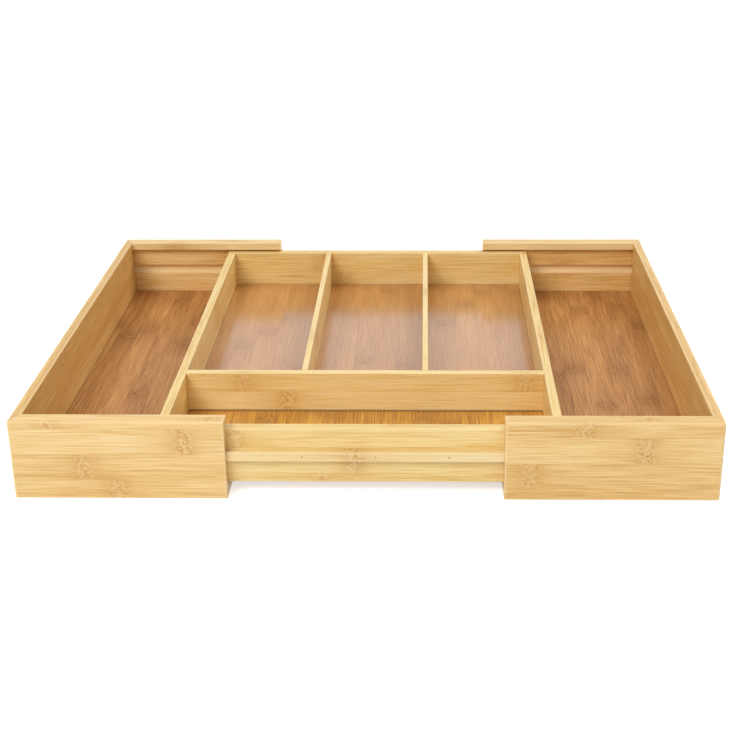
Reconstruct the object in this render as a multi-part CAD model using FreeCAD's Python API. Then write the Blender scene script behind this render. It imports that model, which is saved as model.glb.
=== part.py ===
import FreeCAD, Part
import math
import os

os.makedirs("parts", exist_ok=True)

# Expanding bamboo tray that lies in a kitchen drawer. A main tray with four compartments
# stands between two side trays, which slide out of it to the left and to the right.
# Millimetres. X runs from left to right, Y from front to back and Z up. The origin lies
# on the ground, under the middle of the tray's outline as it stands at rest.

# Outline
overall_depth = 455.0
tray_height = 64.5
main_width = 311.2
main_height = 55.2

# How far each side tray is pulled out, measured from the closed tray
left_pull = 100.8
right_pull = 110.0
full_pull = 118.0

# Front and back rails of a side tray: a moulded channel with a lip over the main tray,
# a groove for the runner and a foot that carries the floor
rail_lip = 14.5
rail_lip_height = 7.6
rail_web = 8.6
rail_foot_height = 6.0
groove_depth = 5.0
side_wall = 8.0
corner_round = 2.5
arris_round = 1.2
inner_arris_round = 0.7

# Floors, let into the walls
floor_thickness = 4.0
floor_tongue = 3.0

# Battens of a side tray, one under the floor at the inner end and one stop on top of it
end_batten_width = 20.0
stop_width = 12.0
stop_height = 6.0
stop_end_gap = 2.0

# Main tray
main_end_wall = 9.5
main_side_wall = 7.2
main_floor_top = 21.0
corner_rebate = 4.0
divider_round = 0.6
cross_divider_front = 116.3
cross_divider_thickness = 7.2
long_divider_thickness = 4.9
long_divider_count = 2
housing_depth = 2.5
housing_below_top = 7.0

# Runner strips on the front and back of the main tray
runner_proud = 5.0
runner_housing = 2.0
runner_height = 7.6
runner_bottom = 30.0
runner_round = 0.5

# Round brads, through the runners from outside and through the end battens from below
brad_diameter = 1.5
runner_brad_length = 12.0
runner_brad_count = 5
runner_brad_pitch = 56.0
runner_brad_offset = 12.7
batten_brad_length = 9.0
batten_brad_count = 6
batten_brad_end = 25.0

# Clearances
slide_gap = 0.4
groove_headroom = 1.4
floor_gap = 0.3
closed_gap = 1.0
meeting_gap = 0.4
stop_gap = 0.3

# Places that follow from the sizes above
closed_half_width = main_width / 2 + closed_gap + side_wall
left_reach = closed_half_width + left_pull
right_reach = closed_half_width + right_pull
main_centre = (left_reach - right_reach) / 2
left_face = main_centre - left_reach
right_face = main_centre + right_reach
front_face = -overall_depth / 2
rail_length = closed_half_width - meeting_gap
side_floor_top = rail_foot_height + floor_thickness
main_bottom = side_floor_top + floor_gap
main_front = rail_web + slide_gap
main_inside = main_front + main_end_wall
main_side_inside = main_width / 2 - main_side_wall


def box(x, y, z):
    """Block between the two values given for each axis."""
    corner = FreeCAD.Vector(x[0], y[0], z[0])
    return Part.makeBox(x[1] - x[0], y[1] - y[0], z[1] - z[0], corner)


def round_corner(before, corner, after, radius):
    """Start, middle and end of the arc that rounds one corner of a loop."""
    to_before = (before - corner).normalize()
    to_after = (after - corner).normalize()
    half_angle = to_before.getAngle(to_after) / 2
    tangent = radius / math.tan(half_angle)
    inward = (to_before + to_after).normalize()
    centre = corner + inward * (radius / math.sin(half_angle))
    return corner + to_before * tangent, centre - inward * radius, corner + to_after * tangent


def prism(corners, direction):
    """Solid swept along direction from a loop of (point, radius) corners."""
    edges = []
    ends = []
    for i, (point, radius) in enumerate(corners):
        before = corners[i - 1][0]
        after = corners[(i + 1) % len(corners)][0]
        if radius > 0:
            start, middle, end = round_corner(before, point, after, radius)
            edges.append(Part.Arc(start, middle, end).toShape())
            ends.append((start, end))
        else:
            ends.append((point, point))
    for i, (start, end) in enumerate(ends):
        following = ends[(i + 1) % len(ends)][0]
        edges.append(Part.LineSegment(end, following).toShape())
    face = Part.Face(Part.Wire(Part.__sortEdges__(edges)))
    return face.extrude(direction)


def along_x(corners, x):
    """Solid with the section (y, z, radius), from the first x to the second."""
    points = [(FreeCAD.Vector(x[0], y, z), radius) for y, z, radius in corners]
    return prism(points, FreeCAD.Vector(x[1] - x[0], 0, 0))


def along_y(corners, y):
    """Solid with the section (x, z, radius), from the first y to the second."""
    points = [(FreeCAD.Vector(x, y[0], z), radius) for x, z, radius in corners]
    return prism(points, FreeCAD.Vector(0, y[1] - y[0], 0))


def upright(corners, z):
    """Solid with the plan (x, y, radius), from the first z to the second."""
    points = [(FreeCAD.Vector(x, y, z[0]), radius) for x, y, radius in corners]
    return prism(points, FreeCAD.Vector(0, 0, z[1] - z[0]))


def turned_to_back(shape):
    """The same piece at the back of the tray: a mirror image about the middle of the depth."""
    middle = FreeCAD.Vector(0, overall_depth / 2, 0)
    return shape.mirror(middle, FreeCAD.Vector(0, 1, 0))


def brad(head, direction, length):
    """Round brad driven in along direction, with its head flush with the surface."""
    return Part.makeCylinder(brad_diameter / 2, length, FreeCAD.Vector(*head), FreeCAD.Vector(*direction))


# Side tray, drawn as the left one: x starts at its outer face and runs towards its inner end,
# y starts at its front face.

def side_tray_outline():
    """Plan of a side tray with its eased outer corners, over the full height."""
    return upright([
        (0, 0, corner_round),
        (rail_length, 0, inner_arris_round),
        (rail_length, overall_depth, inner_arris_round),
        (0, overall_depth, corner_round),
    ], (0, tray_height))


def side_tray_rail():
    """Front rail: a channel section, mitred to the side wall at its outer end."""
    groove = (runner_bottom - slide_gap, runner_bottom + runner_height + groove_headroom)
    lip_bottom = tray_height - rail_lip_height
    section = along_x([
        (0, 0, inner_arris_round),
        (rail_lip, 0, 0),
        (rail_lip, rail_foot_height, 0),
        (rail_web, rail_foot_height, 0),
        (rail_web, groove[0], 0),
        (rail_web - groove_depth, groove[0], 0),
        (rail_web - groove_depth, groove[1], 0),
        (rail_web, groove[1], 0),
        (rail_web, lip_bottom, 0),
        (rail_lip, lip_bottom, inner_arris_round),
        (rail_lip, tray_height, inner_arris_round),
        (0, tray_height, arris_round),
    ], (0, rail_length))
    mitred = upright([
        (0, 0, 0),
        (rail_length, 0, 0),
        (rail_length, rail_lip, 0),
        (side_wall, rail_lip, 0),
    ], (0, tray_height))
    return section.common(mitred).common(side_tray_outline())


def side_tray_wall():
    """Outer side wall, mitred at both ends and grooved for the floor."""
    section = along_y([
        (0, 0, inner_arris_round),
        (side_wall, 0, 0),
        (side_wall, tray_height, inner_arris_round),
        (0, tray_height, arris_round),
    ], (0, overall_depth))
    mitred = upright([
        (0, 0, 0),
        (side_wall, rail_lip, 0),
        (side_wall, overall_depth - rail_lip, 0),
        (0, overall_depth, 0),
    ], (0, tray_height))
    return section.common(mitred).common(side_tray_outline()).cut(side_tray_floor())


def side_tray_floor():
    """Floor panel, on the rails' feet, in the side wall's groove and on the end batten."""
    panel = box(
        (side_wall - floor_tongue, rail_length),
        (rail_web, overall_depth - rail_web),
        (rail_foot_height, side_floor_top),
    )
    return panel.cut(Part.makeCompound(end_batten_brads()))


def end_batten():
    """Batten under the inner end of the floor, from one rail's foot to the other's."""
    batten = box(
        (rail_length - end_batten_width, rail_length),
        (rail_lip, overall_depth - rail_lip),
        (0, rail_foot_height),
    )
    return batten.cut(Part.makeCompound(end_batten_brads()))


def end_batten_brads():
    """Brads driven up through the end batten into the floor, evenly spaced along it."""
    x = rail_length - end_batten_width / 2
    first = rail_lip + batten_brad_end
    pitch = (overall_depth - 2 * first) / (batten_brad_count - 1)
    places = [first + pitch * i for i in range(batten_brad_count)]
    return [brad((x, y, 0), (0, 0, 1), batten_brad_length) for y in places]


def stop_batten():
    """Stop on the floor, which meets the main tray's side wall when the tray is pulled out."""
    start = closed_half_width + full_pull - main_side_inside + stop_gap
    return box(
        (start, start + stop_width),
        (main_inside + stop_end_gap, overall_depth - main_inside - stop_end_gap),
        (side_floor_top, side_floor_top + stop_height),
    )


# Main tray, drawn with x = 0 in its middle and y from the side trays' front face.

def tongue(x, y):
    """Stub tongue of a divider, stopped below the top, or the housing that it fills."""
    return box(x, y, (main_floor_top, main_height - housing_below_top))


def cross_divider_back():
    return cross_divider_front + cross_divider_thickness


def long_divider_places():
    """Middle of each long divider, for compartments of equal width."""
    inside = 2 * main_side_inside
    clear = (inside - long_divider_count * long_divider_thickness) / (long_divider_count + 1)
    pitch = clear + long_divider_thickness
    first = -main_side_inside + clear + long_divider_thickness / 2
    return [first + pitch * i for i in range(long_divider_count)]


def cross_divider_tongues():
    y = (cross_divider_front, cross_divider_back())
    inside = main_side_inside
    left = tongue((-inside - housing_depth, -inside), y)
    right = tongue((inside, inside + housing_depth), y)
    return [left, right]


def long_divider_tongues(x):
    """Tongues of the long divider at x, into the cross divider and into the back wall."""
    half = long_divider_thickness / 2
    across = (x - half, x + half)
    front = cross_divider_back()
    back = overall_depth - main_inside
    return [
        tongue(across, (front - housing_depth, front)),
        tongue(across, (back, back + housing_depth)),
    ]


def main_floor():
    """Floor panel, let into all four walls."""
    reach = main_side_inside + floor_tongue
    front = main_inside - floor_tongue
    return box(
        (-reach, reach),
        (front, overall_depth - front),
        (main_floor_top - floor_thickness, main_floor_top),
    )


def runner():
    """Hardwearing strip that slides in the side trays' grooves."""
    front = main_front - runner_proud
    back = main_front + runner_housing
    top = runner_bottom + runner_height
    strip = along_x([
        (front, runner_bottom, runner_round),
        (back, runner_bottom, 0),
        (back, top, 0),
        (front, top, runner_round),
    ], (-main_width / 2, main_width / 2))
    return strip


def runner_brads():
    """Brads through the front runner into the wall behind it, evenly spaced."""
    first = runner_brad_offset - runner_brad_pitch * (runner_brad_count - 1) / 2
    y = main_front - runner_proud
    z = runner_bottom + runner_height / 2
    places = [first + runner_brad_pitch * i for i in range(runner_brad_count)]
    return [brad((x, y, z), (0, 1, 0), runner_brad_length) for x in places]


def main_end_wall_blank():
    """Front wall of the main tray, rebated for the side walls and let out for the runner."""
    wall = along_x([
        (main_front, main_bottom, inner_arris_round),
        (main_inside, main_bottom, 0),
        (main_inside, main_height, inner_arris_round),
        (main_front, main_height, inner_arris_round),
    ], (-main_width / 2, main_width / 2))
    rebate_y = (main_inside - corner_rebate, main_inside)
    whole_height = (main_bottom, main_height)
    for side in (-1, 1):
        x = sorted((side * main_side_inside, side * main_width / 2))
        wall = wall.cut(box(x, rebate_y, whole_height))
    return wall.cut(runner()).cut(main_floor()).cut(Part.makeCompound(runner_brads()))


def main_back_wall():
    """Back wall: the front wall turned round, with housings for the long dividers."""
    wall = turned_to_back(main_end_wall_blank())
    for x in long_divider_places():
        wall = wall.cut(long_divider_tongues(x)[1])
    return wall


def main_side():
    """Left side wall of the main tray, between the rebates of the end walls."""
    outer = -main_width / 2
    inner = -main_side_inside
    wall = along_y([
        (outer, main_bottom, 0),
        (inner, main_bottom, 0),
        (inner, main_height, inner_arris_round),
        (outer, main_height, inner_arris_round),
    ], (main_inside - corner_rebate, overall_depth - main_inside + corner_rebate))
    return wall.cut(main_floor()).cut(cross_divider_tongues()[0])


def cross_divider():
    """Divider across the tray, behind the front compartment."""
    divider = along_x([
        (cross_divider_front, main_floor_top, 0),
        (cross_divider_back(), main_floor_top, 0),
        (cross_divider_back(), main_height, divider_round),
        (cross_divider_front, main_height, divider_round),
    ], (-main_side_inside, main_side_inside))
    divider = divider.fuse(cross_divider_tongues()).removeSplitter()
    for x in long_divider_places():
        divider = divider.cut(long_divider_tongues(x)[0])
    return divider


def long_divider(x):
    """Divider from the cross divider to the back wall."""
    half = long_divider_thickness / 2
    divider = along_y([
        (x - half, main_floor_top, 0),
        (x + half, main_floor_top, 0),
        (x + half, main_height, divider_round),
        (x - half, main_height, divider_round),
    ], (cross_divider_back(), overall_depth - main_inside))
    return divider.fuse(long_divider_tongues(x)).removeSplitter()


def mirrored(shape):
    """Left and right exchanged."""
    return shape.mirror(FreeCAD.Vector(0, 0, 0), FreeCAD.Vector(1, 0, 0))


def single(shape):
    """The one solid of a piece, without the compound that a cut may leave round it."""
    if len(shape.Solids) != 1:
        raise ValueError("a piece has %d solids" % len(shape.Solids))
    return shape.Solids[0]


def save(name, shape, x):
    """Writes one piece, moved to its place in the tray."""
    placed = shape.copy()
    placed.translate(FreeCAD.Vector(x, front_face, 0))
    placed.exportStep("parts/" + name + ".step")


main_pieces = {
    "main_front_wall": single(main_end_wall_blank()),
    "main_back_wall": single(main_back_wall()),
    "main_left_wall": single(main_side()),
    "main_right_wall": single(mirrored(main_side())),
    "main_floor": main_floor(),
    "cross_divider": single(cross_divider()),
    "front_runner": single(runner().cut(Part.makeCompound(runner_brads()))),
    "back_runner": single(turned_to_back(runner().cut(Part.makeCompound(runner_brads())))),
    "runner_brads": Part.makeCompound(runner_brads() + [turned_to_back(pin) for pin in runner_brads()]),
}
for divider_name, divider_x in zip(("left_divider", "right_divider"), long_divider_places()):
    main_pieces[divider_name] = single(long_divider(divider_x))
for piece_name, piece in main_pieces.items():
    save(piece_name, piece, main_centre)

side_pieces = {
    "front_rail": single(side_tray_rail()),
    "back_rail": single(turned_to_back(side_tray_rail())),
    "outer_wall": single(side_tray_wall()),
    "floor": single(side_tray_floor()),
    "end_batten": single(end_batten()),
    "stop_batten": stop_batten(),
    "batten_brads": Part.makeCompound(end_batten_brads()),
}
for piece_name, piece in side_pieces.items():
    save("left_" + piece_name, piece, left_face)
    save("right_" + piece_name, mirrored(piece), right_face)

print("width at rest", right_face - left_face)
print("width closed", 2 * closed_half_width, "and open", 2 * (closed_half_width + full_pull))
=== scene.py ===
from collections import namedtuple
import math

import bpy
from mathutils import Matrix, Vector

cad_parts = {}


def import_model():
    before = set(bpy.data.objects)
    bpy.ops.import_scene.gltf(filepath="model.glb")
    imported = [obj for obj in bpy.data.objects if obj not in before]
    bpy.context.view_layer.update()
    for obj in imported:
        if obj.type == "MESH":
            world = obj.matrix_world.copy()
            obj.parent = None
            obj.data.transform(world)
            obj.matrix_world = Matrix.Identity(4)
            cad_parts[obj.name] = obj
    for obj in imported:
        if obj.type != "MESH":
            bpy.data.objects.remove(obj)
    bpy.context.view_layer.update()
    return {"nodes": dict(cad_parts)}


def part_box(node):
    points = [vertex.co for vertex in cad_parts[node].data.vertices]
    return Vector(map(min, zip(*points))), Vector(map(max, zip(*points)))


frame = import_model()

# Looks of an expanding bamboo drawer tray. Places are in metres, in the frame of the packed
# model. Distances inside the materials are in millimetres, and colours are linear.

X, Y, Z = 0, 1, 2
mm_per_metre = 1000.0
white = (1.0, 1.0, 1.0, 1.0)

# Camera, calibrated on the tray's own edges: pixels of a square picture, degrees, metres, and the
# sensor's width in millimetres
image_size = 736
focal_pixels = 1367.58
image_centre = (391.68, 362.36)
camera_pitch = -22.674
camera_yaw = -1.482
camera_roll = -0.465
camera_place = (0.04491, -1.15239, 0.50024)
sensor_width = 36.0

# Lamps, which no reflection shows: name, place, side of the square lamp, and watts
lamps = [
    ("key_lamp", (-1.1, -1.7, 2.0), 1.5, 49.0),
    ("fill_lamp", (1.5, -1.7, 1.2), 1.8, 7.0),
    ("back_lamp", (1.0, 1.0, 1.8), 1.4, 24.0),
]
lamp_target = (0.0, 0.0, 0.03)

# The world as a light. Where it is seen, it is white.
world_light = 0.27

# Floor, with the glow that makes it white where it is seen
floor_half_width = 6.0
floor_colour = (0.86, 0.86, 0.86, 1.0)
floor_roughness = 0.8
floor_glow = 0.62

# Colours of bamboo: pale, base, deep and knuckle
wall_colours = [
    (0.93, 0.71, 0.37, 1.0),
    (0.85, 0.575, 0.225, 1.0),
    (0.66, 0.37, 0.095, 1.0),
    (0.53, 0.235, 0.030, 1.0),
]
# Golden: a paler, yellower copy of the wall bamboo for the main tray, as painted light that offsets
# the orange of the light bounced off the floors inside it
golden_lit_colours = [
    (0.96, 0.76, 0.41, 1.0),
    (0.89, 0.655, 0.262, 1.0),
    (0.71, 0.44, 0.12, 1.0),
    (0.55, 0.245, 0.032, 1.0),
]
runner_colours = [
    (0.94, 0.76, 0.44, 1.0),
    (0.87, 0.64, 0.30, 1.0),
    (0.72, 0.44, 0.15, 1.0),
    (0.50, 0.25, 0.06, 1.0),
]
side_floor_colours = [
    (0.62, 0.33, 0.115, 1.0),
    (0.475, 0.22, 0.066, 1.0),
    (0.29, 0.112, 0.028, 1.0),
    (0.22, 0.078, 0.016, 1.0),
]
main_floor_colours = [
    (0.78, 0.41, 0.062, 1.0),
    (0.62, 0.28, 0.032, 1.0),
    (0.37, 0.13, 0.014, 1.0),
    (0.24, 0.08, 0.009, 1.0),
]
# Behind the cross divider: darker, bluer copies of the main floor's colours, as painted shade and a
# painted sheen
rear_floor_shaded_colours = [
    (0.64, 0.33, 0.11, 1.0),
    (0.52, 0.24, 0.066, 1.0),
    (0.36, 0.14, 0.03, 1.0),
    (0.25, 0.085, 0.015, 1.0),
]

# Finishes: colours, width of a strip, thickness of a layer, contrast of the grain, the shader's
# own values, and height of the relief
Finish = namedtuple(
    "Finish", "colours strip layer contrast roughness specular coat coat_roughness relief"
)
finishes = {
    "wall": Finish(wall_colours, 21.5, 7.0, 1.0, 0.46, 0.40, 0.38, 0.30, 0.05),
    "golden": Finish(golden_lit_colours, 21.5, 7.0, 1.0, 0.46, 0.40, 0.28, 0.30, 0.05),
    "runner": Finish(runner_colours, 21.5, 7.0, 0.75, 0.46, 0.40, 0.10, 0.32, 0.04),
    "side_floor": Finish(side_floor_colours, 19.0, 9.0, 1.15, 0.42, 0.20, 0.05, 0.24, 0.04),
    "main_floor": Finish(main_floor_colours, 19.0, 9.0, 1.5, 0.32, 0.50, 1.0, 0.16, 0.02),
}

# Boards: node, axes of grain, width and thickness, finish, and how much paler than its kind. The
# paler values are painted light and shade for how the light falls: the cross divider and the main
# back wall paler, and the main tray's side walls and the right-hand tray deeper. The outer walls
# are much deeper.
Board = namedtuple("Board", "node along wide thin finish paler")
boards = [
    Board("main_front_wall", X, Z, Y, "golden", 0.0),
    Board("main_back_wall", X, Z, Y, "golden", 0.05),
    Board("main_left_wall", Y, Z, X, "golden", -0.1),
    Board("main_right_wall", Y, Z, X, "golden", -0.1),
    Board("cross_divider", X, Z, Y, "golden", 0.25),
    Board("left_divider", Y, Z, X, "golden", 0.0),
    Board("right_divider", Y, Z, X, "golden", 0.0),
    Board("front_runner", X, Z, Y, "runner", 0.0),
    Board("back_runner", X, Z, Y, "runner", 0.0),
    Board("main_floor", Y, X, Z, "main_floor", 0.0),
    Board("left_floor", Y, X, Z, "side_floor", 0.0),
    Board("right_floor", Y, X, Z, "side_floor", 0.0),
]
# The right-hand tray is deeper as painted shade, on the side away from the key lamp
for side, side_shade in (("left_", 0.0), ("right_", -0.15)):
    boards += [
        Board(side + "front_rail", X, Z, Y, "wall", side_shade),
        Board(side + "back_rail", X, Z, Y, "wall", side_shade),
        Board(side + "outer_wall", Y, Z, X, "wall", -0.6),
        Board(side + "end_batten", Y, X, Z, "wall", side_shade),
        Board(side + "stop_batten", Y, X, Z, "wall", side_shade),
    ]

# Each board has its own seed, which moves it to another place in the cane
first_seed = 1.0
seed_step = 7.31
wide_per_seed = 3.7
thin_per_seed = 1.9

# How far a strip may be shifted along the cane, and how far apart the strips' noise may lie
strip_shift = 900.0
lane_spread = 60.0

# Fibres: length, width and detail of the noise of each kind, and how strongly each kind and the
# strip's own tone show
streak_fibres = (64.0, 1.2, 3.0)
line_fibres = (36.0, 0.75, 1.0)
fine_fibres = (10.0, 0.5, 2.0)
drift_fibres = (150.0, 11.0, 2.0)
streak_share = 1.5
line_share = 2.9
fine_share = 0.9
drift_share = 1.3
strip_share = 0.5

# Detail and roughness of noise where nothing else is said, and detail of the noise of waves and
# strokes
noise_detail = 2.0
noise_roughness = 0.5
plain_detail = 1.0

# Knuckles: distance from one to the next along a strip, and width and depth of their ragged
# edge. The remainder is taken far up the cane, so that it is never of a negative number.
knuckle_spacing = 235.0
ragged_width = 3.5
ragged_depth = 10.0
far_up_the_cane = 10000.0

# How far from a knuckle its strokes, its wavy fibres and its warm stretch start and stop fading
stroke_reach = (2.0, 10.5)
wave_reach = (3.0, 17.0)
warm_reach = (5.0, 46.0)

# Waves of the fibres: length, width, depth, and the contrast that they add
wave_length = 5.5
wave_width = 4.0
wave_depth = 6.5
wave_contrast = 0.5

# Strokes that cross in a knuckle: size, slant, how far off the second set lies in the noise, the
# stretch of noise over which they appear, least and added strength, and the gleam between them
stroke_width = 1.7
stroke_length = 6.0
stroke_slant = 1.1
second_strokes = 9.0
stroke_noise = (0.48, 0.68)
stroke_least = 0.36
stroke_more = 0.42
stroke_gleam = 0.34

# How much deeper the warm stretch at a knuckle is, and how much is added among the wavy fibres
warm_share = 0.30
warm_wave_share = 0.32

# Glue lines: half their width between strips and between layers, the share of it that is full,
# and how strongly they show
strip_line = 0.28
layer_line = 0.22
line_core = 0.4
glue_share = 0.34

# Bare wood in the rails' grooves, and how strongly its streaks show
bare_wood = (0.93, 0.72, 0.42, 1.0)
bare_streaks = 0.9

# End grain: size of the pores, the stretch of noise over which they appear, how squarely a face
# has to look along the grain, and how strongly it shows. The ends are darkened partly as end
# grain and partly as painted shade.
pore_size = 0.7
pore_noise = (0.38, 0.62)
facing_end = (0.75, 0.95)
end_grain_and_shade_share = 0.72

# Rubbed edges, paler partly from wear and partly as a painted highlight along the eased arrises:
# length of their unevenness, least share of their width, how far from an edge they start and
# stop fading, and how strongly they show
rub_length = 14.0
rub_least = 0.5
rub_highlight_reach = (0.4, 2.2)
rub_highlight_share = 0.50

# Joints: colour, how far from one its line starts and stops fading, how strongly it shows, how
# far from a face its joints are drawn, a distance that stands for no joint, and how faint each
# kind of line is, as millimetres added to the distance from it. Each line is partly the joint
# itself and partly painted shade in the crease between the boards; the open gaps get the most.
joint_and_shade_dark = (0.20, 0.085, 0.018, 1.0)
joint_shade_reach = (0.25, 0.75)
joint_shade_share = 0.72
face_reach = 0.6
far_away = 1000.0
gap_and_shade, tight, soft, faint = -0.7, 0.0, 0.40, 0.52

# What is added to the roughness by streaks, knuckles and rubbed edges
streak_roughness = 0.22
knuckle_roughness = 0.06
rub_roughness = 0.06

# Relief of streaks, fine fibres and glue lines, as shares of the finish's
streak_relief = 0.6
fine_relief = 0.5
glue_relief = 0.9

# A rail's web, and the part of its groove that is bare: from the bottom of the groove to just
# inside the web's face, and a little further than the runner reaches up and down
rail_web = 8.6
groove_lip = 0.15
groove_floor = 3.0
groove_gaps = (-0.45, 1.45)

# The inward face of a back rail's lip is paler, as painted light: height, depth of the painted
# light, and how much
lip_height = 7.6
lip_lit_depth = 2.0
lip_painted_light = 1.0

# The main floor is golden in front of the cross divider, and browner and plainer behind it, where
# the browner, bluer colours are painted shade and a painted sheen: how far behind the divider's
# front the change starts and ends, and the contrast behind it
floor_shade_change = (1.0, 25.0)
rear_contrast = 0.85

# Brads, whose heads are dulled brown by the lacquer: nodes, darkest and brightest colour, least
# and most roughness, detail and roughness of the scratches' noise, and the stretch of that noise
# over which the roughness changes
brad_nodes = ["runner_brads", "left_batten_brads", "right_batten_brads"]
brad_dark = (0.38, 0.22, 0.10, 1.0)
brad_bright = (0.66, 0.44, 0.23, 1.0)
brad_roughness = (0.28, 0.55)
scratch_detail = 3.0
scratch_roughness = 0.6
scratch_noise = (0.2, 0.8)


class Value:
    """A number that a material works out at each point, with plain arithmetic."""

    def __init__(self, graph, socket):
        self.graph = graph
        self.socket = socket

    def __add__(self, other):
        return self.graph.math("ADD", self, other)

    def __sub__(self, other):
        return self.graph.math("SUBTRACT", self, other)

    def __rsub__(self, other):
        return self.graph.math("SUBTRACT", other, self)

    def __mul__(self, other):
        return self.graph.math("MULTIPLY", self, other)

    def __truediv__(self, other):
        return self.graph.math("DIVIDE", self, other)

    def __mod__(self, other):
        return self.graph.math("MODULO", self, other)

    def __abs__(self):
        return self.graph.math("ABSOLUTE", self)


class Graph:
    """Short calls that add linked nodes to one node tree."""

    def __init__(self, tree):
        self.tree = tree

    def feed(self, socket, given):
        """Links a socket to a value or another socket, or sets its own value."""
        if isinstance(given, Value):
            given = given.socket
        if isinstance(given, bpy.types.NodeSocket):
            self.tree.links.new(given, socket)
        else:
            socket.default_value = given

    def node(self, kind, inputs=None, **settings):
        made = self.tree.nodes.new(kind)
        for key, setting in settings.items():
            setattr(made, key, setting)
        for key, given in (inputs or {}).items():
            self.feed(made.inputs[key], given)
        return made

    def math(self, operation, a, b=0.0):
        made = self.node("ShaderNodeMath", {0: a, 1: b}, operation=operation)
        return Value(self, made.outputs[0])

    def least(self, a, b):
        return self.math("MINIMUM", a, b)

    def most(self, a, b):
        return self.math("MAXIMUM", a, b)

    def share(self, value):
        """The value, kept between 0 and 1."""
        return self.least(self.most(value, 0.0), 1.0)

    def within(self, value, low, high):
        """1 between two values and 0 outside them."""
        above = self.math("GREATER_THAN", value, low)
        return above * self.math("LESS_THAN", value, high)

    def ramp(self, value, start, end, low=0.0, high=1.0):
        """Smooth step from low at start to high at end."""
        inputs = {"Value": value, "From Min": start, "From Max": end, "To Min": low, "To Max": high}
        made = self.node("ShaderNodeMapRange", inputs, interpolation_type="SMOOTHSTEP")
        return Value(self, made.outputs["Result"])

    def fade(self, value, start, end):
        """Smooth step from 1 at start to 0 at end."""
        return self.ramp(value, start, end, 1.0, 0.0)

    def vector(self, x, y, z):
        return self.node("ShaderNodeCombineXYZ", {0: x, 1: y, 2: z}).outputs[0]

    def parts(self, vector):
        made = self.node("ShaderNodeSeparateXYZ", {0: vector})
        return [Value(self, output) for output in made.outputs]

    def object_place(self):
        """The point's place in the object, in millimetres."""
        place = self.node("ShaderNodeTexCoord").outputs["Object"]
        inputs = {0: place, "Scale": mm_per_metre}
        return self.node("ShaderNodeVectorMath", inputs, operation="SCALE").outputs[0]

    def facing(self, axis):
        """How squarely the surface faces along an axis, either way."""
        normal = self.node("ShaderNodeTexCoord").outputs["Normal"]
        return abs(self.parts(normal)[axis])

    def noise(self, vector, detail=noise_detail, roughness=noise_roughness):
        inputs = {"Vector": vector, "Scale": 1.0, "Detail": detail, "Roughness": roughness}
        return Value(self, self.node("ShaderNodeTexNoise", inputs).outputs["Fac"])

    def mix(self, share, a, b):
        made = self.node("ShaderNodeMix", data_type="RGBA")
        colours = [socket for socket in made.inputs if socket.type == "RGBA"]
        self.feed(made.inputs["Factor"], share)
        self.feed(colours[0], a)
        self.feed(colours[1], b)
        return [socket for socket in made.outputs if socket.type == "RGBA"][0]


def swing(noise, amount):
    """Noise turned into a swing about zero, up to half the amount each way."""
    return (noise - 0.5) * amount


# Inputs and outputs of the bamboo group
group_numbers = [
    "Along", "Wide", "Thin", "Seed", "Strip", "Layer", "Edge", "Joint", "Bare", "End",
    "Paler", "Contrast", "Roughness",
]
group_colours = ["Pale", "Base", "Deep", "Knuckle"]
group_outputs = [
    ("Color", "NodeSocketColor"),
    ("Roughness", "NodeSocketFloat"),
    ("Height", "NodeSocketFloat"),
]


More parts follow.
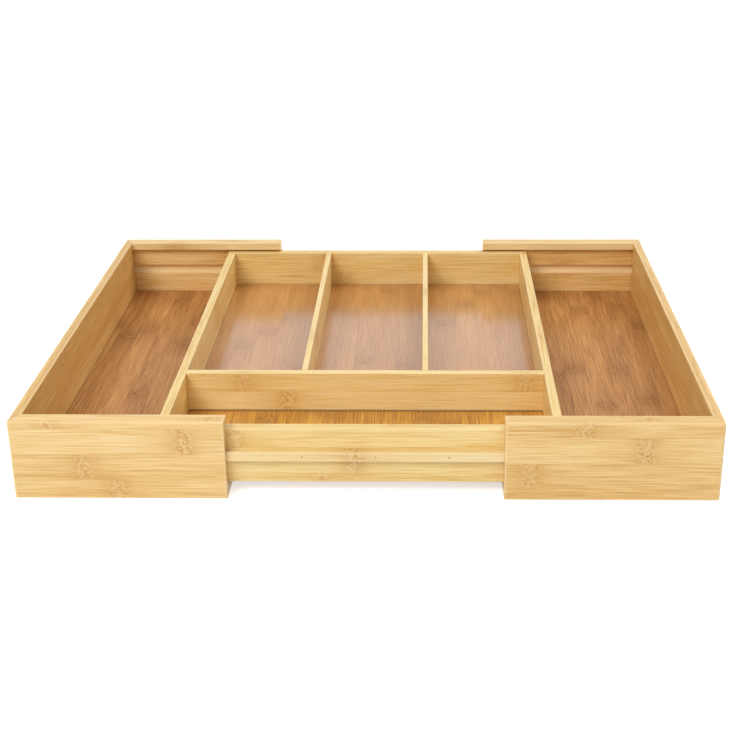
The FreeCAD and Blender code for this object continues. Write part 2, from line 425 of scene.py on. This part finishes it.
class Bamboo:
    """Laminated bamboo in a node group, drawn feature by feature on one colour."""

    def __init__(self, tree):
        self.graph = Graph(tree)
        inputs = self.graph.node("NodeGroupInput").outputs
        self.given = {name: Value(self.graph, inputs[name]) for name in group_numbers}
        self.pale, self.base, self.deep, self.knuckle = (inputs[name] for name in group_colours)
        self.lay_strips()
        self.find_knuckles()
        self.draw_fibres()
        self.draw_knuckles()
        self.draw_glue_lines()
        self.bare_the_groove()
        self.draw_end_grain()
        self.rub_and_highlight_edges()
        self.darken_joints_and_shade()
        self.put_out()

    def lay_strips(self):
        """Gives each strip of each layer its own tone and its own place along the cane."""
        graph, given = self.graph, self.given
        seed = given["Seed"]
        self.wide = given["Wide"] + seed * wide_per_seed
        self.thin = given["Thin"] + seed * thin_per_seed
        self.strip_place = self.wide / given["Strip"]
        self.layer_place = self.thin / given["Layer"]
        strip = graph.math("FLOOR", self.strip_place)
        layer = graph.math("FLOOR", self.layer_place)
        cell = {"Vector": graph.vector(strip, layer, seed)}
        chance = graph.node("ShaderNodeTexWhiteNoise", cell, noise_dimensions="3D")
        shift, self.tone, self.warmth = graph.parts(chance.outputs["Color"])
        self.along = given["Along"] + shift * strip_shift
        self.lane = self.tone * lane_spread

    def find_knuckles(self):
        """Finds what is near a knuckle of its strip, where the fibres turn wavy."""
        graph = self.graph
        ragged = graph.noise(graph.vector(0.0, self.wide / ragged_width, self.lane))
        turn = self.along + swing(ragged, ragged_depth)
        cycle = (turn + far_up_the_cane) % knuckle_spacing
        away = abs(cycle - knuckle_spacing / 2)
        self.band = graph.fade(away, *stroke_reach)
        self.beside = graph.fade(away, *wave_reach)
        self.near = graph.fade(away, *warm_reach)
        place = graph.vector(self.along / wave_length, self.wide / wave_width, self.lane)
        self.wave = swing(graph.noise(place, plain_detail), wave_depth) * self.beside

    def fibres(self, length, width, detail):
        """Noise stretched along the grain."""
        across = (self.wide + self.wave) / width
        through = self.thin / width + self.lane
        place = self.graph.vector(self.along / length, across, through)
        return self.graph.noise(place, detail)

    def draw_fibres(self):
        """Makes the base colour paler and deeper along the fibres and from strip to strip."""
        self.streaks = self.fibres(*streak_fibres)
        self.fine = self.fibres(*fine_fibres)
        lines = self.fibres(*line_fibres)
        drift = self.fibres(*drift_fibres)
        grain = swing(self.streaks, streak_share) + swing(lines, line_share)
        grain = grain + swing(self.fine, fine_share)
        grain = grain * (self.given["Contrast"] + self.beside * wave_contrast)
        paler = grain + swing(drift, drift_share) + swing(self.tone, strip_share)
        paler = paler + self.given["Paler"]
        self.colour = self.graph.mix(self.graph.share(paler), self.base, self.pale)
        self.tint(self.graph.share(paler * -1.0), self.deep)

    def tint(self, share, colour):
        """Mixes a share of another colour into the bamboo's."""
        self.colour = self.graph.mix(share, self.colour, colour)

    def strokes(self, slant, place):
        """Short strokes that lean to one side of the grain."""
        lean = (self.wide + self.thin) * slant
        across = (self.along + lean) / stroke_width
        length = (self.along - lean) / stroke_length
        vector = self.graph.vector(across, length, self.lane + place)
        return self.graph.noise(vector, plain_detail)

    def draw_knuckles(self):
        """Draws ragged bands of crossing strokes, with a gleam between them, on warmer wood."""
        crossing = self.graph.most(
            self.strokes(stroke_slant, 0.0), self.strokes(-stroke_slant, second_strokes)
        )
        marks = self.graph.ramp(crossing, *stroke_noise)
        strength = self.warmth * stroke_more + stroke_least
        self.tint(self.near * warm_share + self.beside * warm_wave_share, self.deep)
        self.tint(self.band * marks * strength, self.knuckle)
        self.tint((1.0 - marks) * (self.band * stroke_gleam), self.pale)

    def glue_line(self, place, pitch, half_width):
        """1 on the line between two strips or layers, and 0 away from it."""
        to_middle = abs(self.graph.math("FRACT", place) - 0.5)
        distance = (0.5 - to_middle) * pitch
        return self.graph.fade(distance, half_width * line_core, half_width)

    def draw_glue_lines(self):
        strips = self.glue_line(self.strip_place, self.given["Strip"], strip_line)
        layers = self.glue_line(self.layer_place, self.given["Layer"], layer_line)
        self.glue = self.graph.most(strips, layers)
        self.tint(self.glue * glue_share, self.deep)

    def bare_the_groove(self):
        """Shows bare, paler wood where the groove was cut after finishing."""
        bare = self.graph.mix(swing(self.streaks, bare_streaks), bare_wood, self.deep)
        self.tint(self.given["Bare"], bare)

    def draw_end_grain(self):
        """Darkens the ends, partly as end grain and partly as painted shade, with the cut ends of the
        fibres as dots.
        """
        place = self.graph.vector(self.wide / pore_size, self.thin / pore_size, self.lane)
        pores = self.graph.ramp(self.graph.noise(place), *pore_noise)
        end_grain = self.graph.mix(pores, self.base, self.knuckle)
        self.tint(self.given["End"] * end_grain_and_shade_share, end_grain)

    def rub_and_highlight_edges(self):
        """Makes the eased edges paler, unevenly: partly rubbed wear, partly a painted highlight."""
        place = self.graph.vector(self.given["Along"] / rub_length, self.given["Seed"], 0.0)
        width = self.graph.noise(place) + rub_least
        self.rubbed_highlight = self.graph.fade(self.given["Edge"] / width, *rub_highlight_reach)
        self.tint(self.rubbed_highlight * rub_highlight_share, self.pale)

    def darken_joints_and_shade(self):
        """Draws a thin dark line where two boards meet, partly the joint and partly painted shade."""
        dark = self.graph.fade(self.given["Joint"], *joint_shade_reach)
        self.tint(dark * joint_shade_share, joint_and_shade_dark)

    def put_out(self):
        rough = self.given["Roughness"] + swing(self.streaks, streak_roughness)
        rough = rough + self.band * knuckle_roughness + self.rubbed_highlight * rub_roughness
        height = swing(self.streaks, streak_relief) + swing(self.fine, fine_relief)
        outputs = {
            "Color": self.colour,
            "Roughness": self.graph.share(rough),
            "Height": height - self.glue * glue_relief,
        }
        self.graph.node("NodeGroupOutput", outputs)


def bamboo_group():
    tree = bpy.data.node_groups.new("bamboo", "ShaderNodeTree")
    for name in group_numbers:
        tree.interface.new_socket(name, in_out="INPUT", socket_type="NodeSocketFloat")
    for name in group_colours:
        tree.interface.new_socket(name, in_out="INPUT", socket_type="NodeSocketColor")
    for name, kind in group_outputs:
        tree.interface.new_socket(name, in_out="OUTPUT", socket_type=kind)
    Bamboo(tree)
    return tree


def sides(node, axis):
    """Lowest and highest place of a node on one axis, in millimetres."""
    low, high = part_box(node)
    return low[axis] * mm_per_metre, high[axis] * mm_per_metre


def edge_distance(graph, position, node):
    """Distance from the nearest edge of the board's block."""
    gaps = []
    for axis in (X, Y, Z):
        low, high = sides(node, axis)
        gaps.append(abs(graph.least(position[axis] - low, high - position[axis])))
    smaller = graph.least(gaps[0], gaps[1])
    larger = graph.most(gaps[0], gaps[1])
    return graph.most(smaller, graph.least(larger, gaps[2]))


def seen_face(plane, seams, faintness, span=None):
    """One face of a board: where it is, its joints, and the stretch of it that has them."""
    return (*plane, [(*seam, faintness) for seam in seams], span)


def main_tray_joints(node):
    """Faces of a main tray board, with the joints that each shows."""
    runner = [(Z, place) for place in sides("front_runner", Z)]
    ground = (Z, sides("main_floor", Z)[1])
    cross = [(Y, place) for place in sides("cross_divider", Y)]
    left = (X, sides("main_left_wall", X)[1])
    right = (X, sides("main_right_wall", X)[0])
    front = (Y, sides("main_front_wall", Y)[1])
    back = (Y, sides("main_back_wall", Y)[0])
    outer_front = (Y, sides("main_front_wall", Y)[0])
    outer_back = (Y, sides("main_back_wall", Y)[1])
    left_divider = [(X, place) for place in sides("left_divider", X)]
    right_divider = [(X, place) for place in sides("right_divider", X)]
    dividers = left_divider + right_divider
    rear_part = (Y, cross[1][1], back[1])
    faces = {
        "main_front_wall": [(outer_front, runner, soft), (front, [left, right], soft)],
        "main_back_wall": [(outer_back, runner, soft), (back, [left, right] + dividers, soft)],
        "main_left_wall": [(left, [front, back] + cross, soft)],
        "main_right_wall": [(right, [front, back] + cross, soft)],
        "cross_divider": [
            (cross[0], [left, right], soft),
            (cross[0], [ground], gap_and_shade),
            (cross[1], dividers, soft),
        ],
        "left_divider": [(face, [cross[1], back], soft) for face in left_divider],
        "right_divider": [(face, [cross[1], back], soft) for face in right_divider],
        "main_floor": [
            (ground, [left, right, front, back] + cross, tight),
            (ground, cross[:1], gap_and_shade),
            (ground, dividers, tight, rear_part),
        ],
    }
    return [seen_face(*face) for face in faces.get(node, [])]


def side_tray_joints(node):
    """The same for a board of a side tray."""
    side, piece = node.split("_", 1)
    wall = sides(side + "_outer_wall", X)
    inner = (X, wall[1] if side == "left" else wall[0])
    ground = (Z, sides(side + "_floor", Z)[1])
    front = (Y, sides(side + "_front_rail", Y)[0] + rail_web)
    back = (Y, sides(side + "_back_rail", Y)[1] - rail_web)
    faces = {
        "front_rail": [(front, [inner], soft)],
        "back_rail": [(back, [inner], soft)],
        "outer_wall": [(inner, [front, back], soft)],
        "floor": [(ground, [inner, front, back], tight)],
    }
    return [seen_face(*face) for face in faces.get(piece, [])]


def joints_shown(node):
    in_side_tray = node.startswith(("left_", "right_")) and not node.endswith("divider")
    return side_tray_joints(node) if in_side_tray else main_tray_joints(node)


def joint_distance(graph, position, faces):
    """Distance from the nearest joint, on the faces that have one."""
    nearest = far_away
    for face_axis, face_place, seams, span in faces:
        closest = far_away
        for axis, place, faintness in seams:
            closest = graph.least(abs(position[axis] - place) + faintness, closest)
        here = graph.within(position[face_axis], face_place - face_reach, face_place + face_reach)
        if span:
            span_axis, span_low, span_high = span
            here = here * graph.within(position[span_axis], span_low, span_high)
        nearest = graph.least(nearest, closest + (1.0 - here) * far_away)
    return nearest


def mitre_corners(node):
    """Mitres of a side tray's board: the outer corner (x, y) and the way that the cut runs."""
    if not node.endswith(("rail", "outer_wall")):
        return []
    side = node.split("_")[0]
    left, right = sides(side + "_outer_wall", X)
    front, back = sides(side + "_outer_wall", Y)
    lip_front, lip_back = sides(side + "_front_rail", Y)
    thick = right - left
    wide = lip_back - lip_front
    outer, inward = (left, thick) if side == "left" else (right, -thick)
    return [(outer, front, inward, wide), (outer, back, inward, -wide)]


def mitre_distance(graph, position, corners):
    """Distance from the nearest mitre, drawn faint."""
    nearest = far_away
    for x, y, run_x, run_y in corners:
        length = math.hypot(run_x, run_y)
        across = (position[X] - x) * (run_y / length)
        along = (position[Y] - y) * (run_x / length)
        nearest = graph.least(abs(across - along) + faint, nearest)
    return nearest


def groove_mask(graph, position, node):
    """1 in the channel that the runner slides in, on the inner side of a rail."""
    if not node.endswith("rail"):
        return 0.0
    front, back = sides(node, Y)
    low, high = (place + gap for place, gap in zip(sides("front_runner", Z), groove_gaps))
    if node.endswith("front_rail"):
        depth = (front + groove_floor, front + rail_web - groove_lip)
    else:
        depth = (back - rail_web + groove_lip, back - groove_floor)
    return graph.within(position[Y], *depth) * graph.within(position[Z], low, high)


def lit_lip_mask(graph, position, node):
    """1 on the inward face of a back rail's lip, which painted light makes paler."""
    front = sides(node, Y)[0]
    top = sides(node, Z)[1]
    on_face = graph.math("LESS_THAN", position[Y], front + lip_lit_depth)
    return on_face * graph.math("GREATER_THAN", position[Z], top - lip_height)


def new_material(name):
    material = bpy.data.materials.new(name)
    material.use_nodes = True
    material.node_tree.nodes.clear()
    return material, Graph(material.node_tree)


def grain_inputs(graph, position, board, seed):
    """What the bamboo group is given for one board."""
    finish = finishes[board.finish]
    colours, contrast, paler = finish.colours, finish.contrast, board.paler
    joint = joint_distance(graph, position, joints_shown(board.node))
    mitres = mitre_corners(board.node)
    if mitres:
        joint = graph.least(joint, mitre_distance(graph, position, mitres))
    # A back rail's lip gets painted light on its inward face
    if board.node.endswith("back_rail"):
        paler = lit_lip_mask(graph, position, board.node) * lip_painted_light + paler
    # Behind the cross divider the main floor takes the darker, bluer colours of painted shade and
    # sheen
    if board.node == "main_floor":
        start, end = (sides("cross_divider", Y)[0] + step for step in floor_shade_change)
        behind = graph.ramp(position[Y], start, end)
        colours = [graph.mix(behind, *pair) for pair in zip(colours, rear_floor_shaded_colours)]
        contrast = graph.ramp(position[Y], start, end, contrast, rear_contrast)
    inputs = {
        "Along": position[board.along],
        "Wide": position[board.wide],
        "Thin": position[board.thin],
        "Seed": seed,
        "Strip": finish.strip,
        "Layer": finish.layer,
        "Edge": edge_distance(graph, position, board.node),
        "Joint": joint,
        "Bare": groove_mask(graph, position, board.node),
        "End": graph.ramp(graph.facing(board.along), *facing_end),
        "Paler": paler,
        "Contrast": contrast,
        "Roughness": finish.roughness,
    }
    inputs.update(zip(group_colours, colours))
    return inputs


def bamboo_material(group, board, seed):
    """The bamboo of one board, with its own seed, joints and finish."""
    finish = finishes[board.finish]
    material, graph = new_material("bamboo_" + board.node)
    position = graph.parts(graph.object_place())
    wood = graph.node("ShaderNodeGroup", node_tree=group)
    for name, given in grain_inputs(graph, position, board, seed).items():
        graph.feed(wood.inputs[name], given)
    relief = graph.node(
        "ShaderNodeBump",
        {"Height": wood.outputs["Height"], "Distance": finish.relief / mm_per_metre, "Strength": 1.0},
    )
    shader = graph.node(
        "ShaderNodeBsdfPrincipled",
        {
            "Base Color": wood.outputs["Color"],
            "Roughness": wood.outputs["Roughness"],
            "Normal": relief.outputs[0],
            "Specular IOR Level": finish.specular,
            "Coat Weight": finish.coat,
            "Coat Roughness": finish.coat_roughness,
        },
    )
    graph.node("ShaderNodeOutputMaterial", {"Surface": shader.outputs[0]})
    return material


def steel_material():
    """Brad heads: drawn steel with fine scratches and darker patches."""
    material, graph = new_material("brad_steel")
    scratches = graph.noise(graph.object_place(), scratch_detail, scratch_roughness)
    shader = graph.node(
        "ShaderNodeBsdfPrincipled",
        {
            "Base Color": graph.mix(scratches, brad_dark, brad_bright),
            "Roughness": graph.ramp(scratches, *scratch_noise, *brad_roughness),
            "Metallic": 1.0,
        },
    )
    graph.node("ShaderNodeOutputMaterial", {"Surface": shader.outputs[0]})
    return material


def give_material(node, material):
    """Puts the material into every slot of a CAD node."""
    part = frame["nodes"][node]
    if not part.data.materials:
        part.data.materials.append(material)
    for slot in part.material_slots:
        slot.material = material


def dress():
    group = bamboo_group()
    for number, board in enumerate(boards):
        seed = first_seed + number * seed_step
        give_material(board.node, bamboo_material(group, board, seed))
    steel = steel_material()
    for node in brad_nodes:
        give_material(node, steel)


def seen_directly(graph):
    """1 for camera, glossy and transmission rays, and 0 for the rest."""
    path = graph.node("ShaderNodeLightPath").outputs
    shown = graph.most(path["Is Camera Ray"], path["Is Glossy Ray"])
    return graph.most(shown, path["Is Transmission Ray"])


def floor():
    mesh = bpy.data.meshes.new("floor")
    half = floor_half_width
    corners = [(-half, -half, 0), (half, -half, 0), (half, half, 0), (-half, half, 0)]
    mesh.from_pydata(corners, [], [(0, 1, 2, 3)])
    ground = bpy.data.objects.new("floor", mesh)
    bpy.context.scene.collection.objects.link(ground)
    material, graph = new_material("floor_white")
    shader = graph.node(
        "ShaderNodeBsdfPrincipled",
        {
            "Base Color": floor_colour,
            "Roughness": floor_roughness,
            "Emission Color": white,
            "Emission Strength": seen_directly(graph) * floor_glow,
        },
    )
    graph.node("ShaderNodeOutputMaterial", {"Surface": shader.outputs[0]})
    mesh.materials.append(material)


def world():
    made = bpy.data.worlds.new("studio")
    made.use_nodes = True
    made.node_tree.nodes.clear()
    graph = Graph(made.node_tree)
    strength = seen_directly(graph) * (1.0 - world_light) + world_light
    sky = graph.node("ShaderNodeBackground", {"Color": white, "Strength": strength})
    graph.node("ShaderNodeOutputWorld", {"Surface": sky.outputs[0]})
    bpy.context.scene.world = made


def aimed(place, target):
    """Rotation that turns -Z from place to target."""
    return (Vector(target) - Vector(place)).to_track_quat("-Z", "Y")


def lights():
    for name, place, size, power in lamps:
        data = bpy.data.lights.new(name, "AREA")
        data.shape = "SQUARE"
        data.size = size
        data.energy = power
        lamp = bpy.data.objects.new(name, data)
        lamp.location = place
        lamp.rotation_mode = "QUATERNION"
        lamp.rotation_quaternion = aimed(place, lamp_target)
        lamp.visible_glossy = False
        bpy.context.scene.collection.objects.link(lamp)


def camera():
    pitch, yaw, roll = (math.radians(angle) for angle in (camera_pitch, camera_yaw, camera_roll))
    ahead = Vector(
        (math.sin(yaw) * math.cos(pitch), math.cos(yaw) * math.cos(pitch), math.sin(pitch))
    )
    level = Vector((math.cos(yaw), -math.sin(yaw), 0.0))
    upward = level.cross(ahead)
    right = math.cos(roll) * level + math.sin(roll) * upward
    up = -math.sin(roll) * level + math.cos(roll) * upward
    data = bpy.data.cameras.new("camera")
    data.sensor_width = sensor_width
    data.lens = focal_pixels * sensor_width / image_size
    data.shift_x = (image_size / 2 - image_centre[0]) / image_size
    data.shift_y = (image_centre[1] - image_size / 2) / image_size
    eye = bpy.data.objects.new("camera", data)
    turn = Matrix((right, up, -ahead)).transposed().to_4x4()
    eye.matrix_world = Matrix.Translation(camera_place) @ turn
    bpy.context.scene.collection.objects.link(eye)
    bpy.context.scene.camera = eye


dress()
floor()
world()
lights()
camera()
bpy.context.scene.view_settings.view_transform = "Standard"

bpy.context.view_layer.update()
